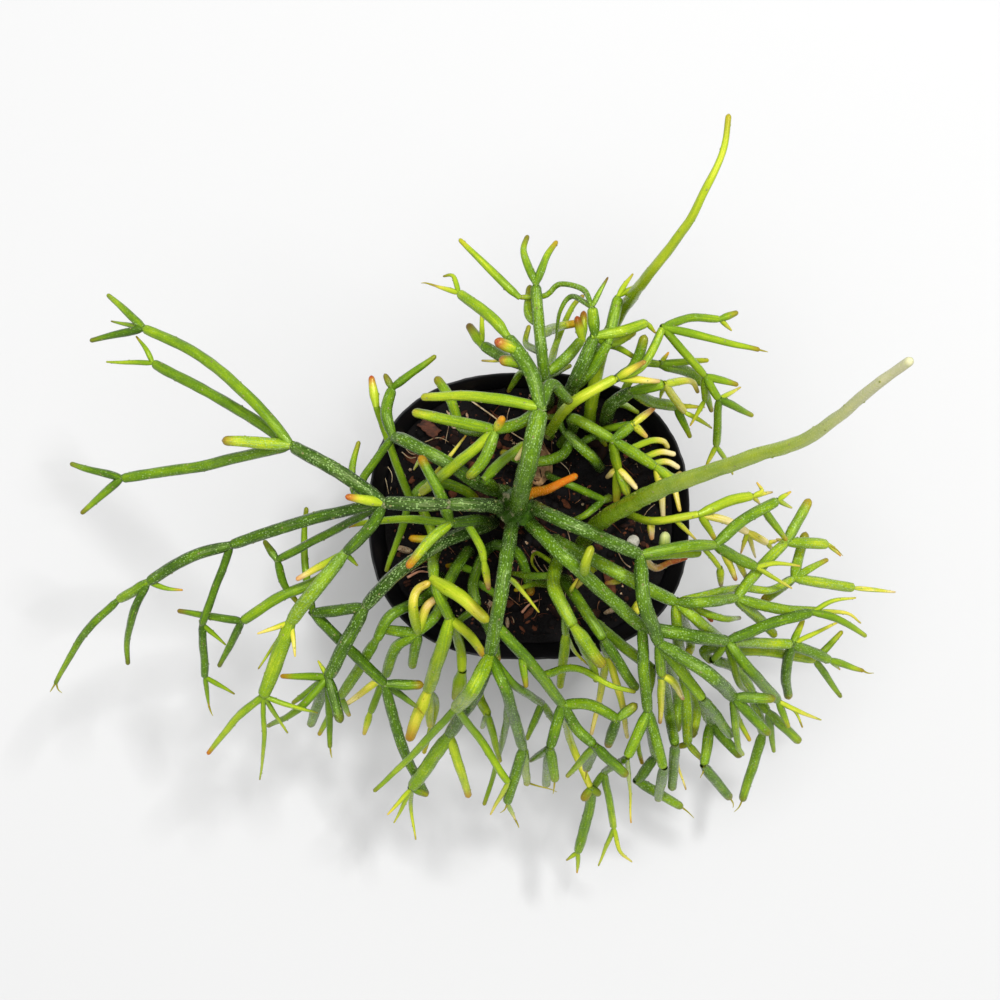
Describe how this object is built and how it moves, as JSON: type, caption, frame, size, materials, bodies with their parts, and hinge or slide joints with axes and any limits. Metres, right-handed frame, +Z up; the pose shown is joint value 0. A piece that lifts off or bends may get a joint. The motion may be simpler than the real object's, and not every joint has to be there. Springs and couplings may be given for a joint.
{
  "type": "mistletoe cactus in pot",
  "caption": "Young mistletoe cactus with thin jointed stems that fork and spread over a small round-cornered black nursery pot.",
  "frame": {"origin": "centre of the pot's underside", "axes": "+Z up out of the pot, +Y towards the top of the picture, +X to its right"},
  "size_m": [0.2415, 0.2026, 0.284],
  "materials": {
    "pot_black": "satin black moulded plastic",
    "soil_brown": "damp, crumbly potting mix",
    "stone_pale": "dull stone",
    "dry_brown": "dry bark and leaf",
    "stem_green": "waxy green stem"
  },
  "bodies": {
    "root": {"pot": "pot_black", "soil": "soil_brown", "pebble": "stone_pale", "bark_chip": "dry_brown", "dry_leaf": "dry_brown", "spray_west": "stem_green", "spray_northwest": "stem_green", "spray_west_inner": "stem_green", "spray_southwest": "stem_green", "spray_southwest_low": "stem_green", "spray_southwest_side": "stem_green", "spray_south_middle": "stem_green", "spray_south_inner": "stem_green", "spray_front": "stem_green", "spray_front_right": "stem_green", "spray_front_far": "stem_green", "spray_southeast": "stem_green", "spray_east_middle": "stem_green", "spray_east_low": "stem_green", "spray_east": "stem_green", "spray_east_inner": "stem_green", "spray_back_inner": "stem_green", "spray_low_inner": "stem_green", "spray_northeast": "stem_green", "spray_northeast_high": "stem_green", "spray_northeast_low": "stem_green", "spray_north": "stem_green", "spray_north_back": "stem_green", "whip_north": "stem_green", "whip_east": "stem_green"}
  },
  "joints": []
}
